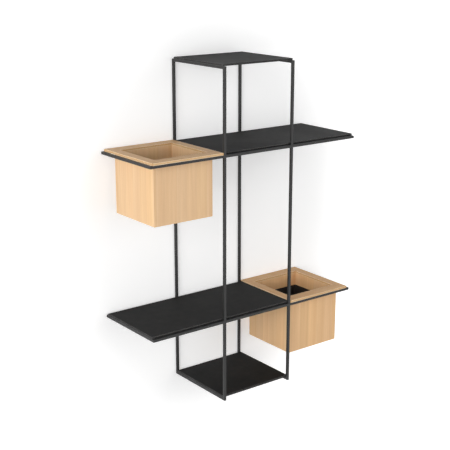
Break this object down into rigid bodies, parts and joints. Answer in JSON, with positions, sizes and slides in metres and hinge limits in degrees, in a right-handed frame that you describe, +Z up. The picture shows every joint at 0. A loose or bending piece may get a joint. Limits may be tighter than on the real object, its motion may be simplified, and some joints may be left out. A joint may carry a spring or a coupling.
{
  "type": "wall shelf",
  "caption": "Wall shelf with a tall square tower of thin bar, two wide level frames with sheet plates, and wooden planter boxes hung in opposite ends.",
  "frame": {"origin": "centre of the wall screw holes, on the wall plane behind the tower", "axes": "+X to the right seen from the room, -Y out of the wall into the room, +Z up"},
  "size_m": [0.529, 0.18, 0.7077],
  "materials": {
    "black_bar": "fine matt black powder coat on square steel bar",
    "black_sheet": "fine matt black powder coat on folded steel sheet",
    "wood_box": "light solid wood, upright grain, clear matt lacquer",
    "wood_rim": "light solid wood, mitred strips, clear matt lacquer",
    "liner_plastic": "black moulded plastic"
  },
  "bodies": {
    "frame": {"bottom_plate": "black_sheet", "left_back_post": "black_bar", "left_bottom_bar": "black_bar", "left_front_post": "black_bar", "left_lower_rung": "black_bar", "left_top_bar": "black_bar", "left_upper_rung": "black_bar", "lower_back_rail": "black_bar", "lower_front_rail": "black_bar", "lower_left_back_arm": "black_bar", "lower_left_end_bar": "black_bar", "lower_left_front_arm": "black_bar", "lower_left_wall_ear": "black_bar", "lower_right_back_arm": "black_bar", "lower_right_end_bar": "black_bar", "lower_right_front_arm": "black_bar", "lower_right_wall_ear": "black_bar", "lower_shelf_plate": "black_sheet", "right_back_post": "black_bar", "right_bottom_bar": "black_bar", "right_front_post": "black_bar", "right_lower_rung": "black_bar", "right_top_bar": "black_bar", "right_upper_rung": "black_bar", "top_plate": "black_sheet", "upper_back_rail": "black_bar", "upper_front_rail": "black_bar", "upper_left_back_arm": "black_bar", "upper_left_end_bar": "black_bar", "upper_left_front_arm": "black_bar", "upper_left_wall_ear": "black_bar", "upper_right_back_arm": "black_bar", "upper_right_end_bar": "black_bar", "upper_right_front_arm": "black_bar", "upper_right_wall_ear": "black_bar", "upper_shelf_plate": "black_sheet"},
    "lower_planter": {"lower_planter_back_rim": "wood_rim", "lower_planter_back_wall": "wood_box", "lower_planter_floor": "wood_box", "lower_planter_front_rim": "wood_rim", "lower_planter_front_wall": "wood_box", "lower_planter_left_rim": "wood_rim", "lower_planter_left_wall": "wood_box", "lower_planter_right_rim": "wood_rim", "lower_planter_right_wall": "wood_box"},
    "lower_liner": {"lower_planter_liner": "liner_plastic"},
    "upper_planter": {"upper_planter_back_rim": "wood_rim", "upper_planter_back_wall": "wood_box", "upper_planter_floor": "wood_box", "upper_planter_front_rim": "wood_rim", "upper_planter_front_wall": "wood_box", "upper_planter_left_rim": "wood_rim", "upper_planter_left_wall": "wood_box", "upper_planter_right_rim": "wood_rim", "upper_planter_right_wall": "wood_box"},
    "upper_liner": {"upper_planter_liner": "liner_plastic"}
  },
  "joints": [
    {"name": "lower_planter_lift", "type": "slide", "parent": "frame", "child": "lower_planter", "axis": [0, 0, 1], "range_m": [0, 0.145]},
    {"name": "lower_liner_lift", "type": "slide", "parent": "lower_planter", "child": "lower_liner", "axis": [0, 0, 1], "range_m": [0, 0.14]},
    {"name": "upper_planter_lift", "type": "slide", "parent": "frame", "child": "upper_planter", "axis": [0, 0, 1], "range_m": [0, 0.145]},
    {"name": "upper_liner_lift", "type": "slide", "parent": "upper_planter", "child": "upper_liner", "axis": [0, 0, 1], "range_m": [0, 0.14]}
  ]
}
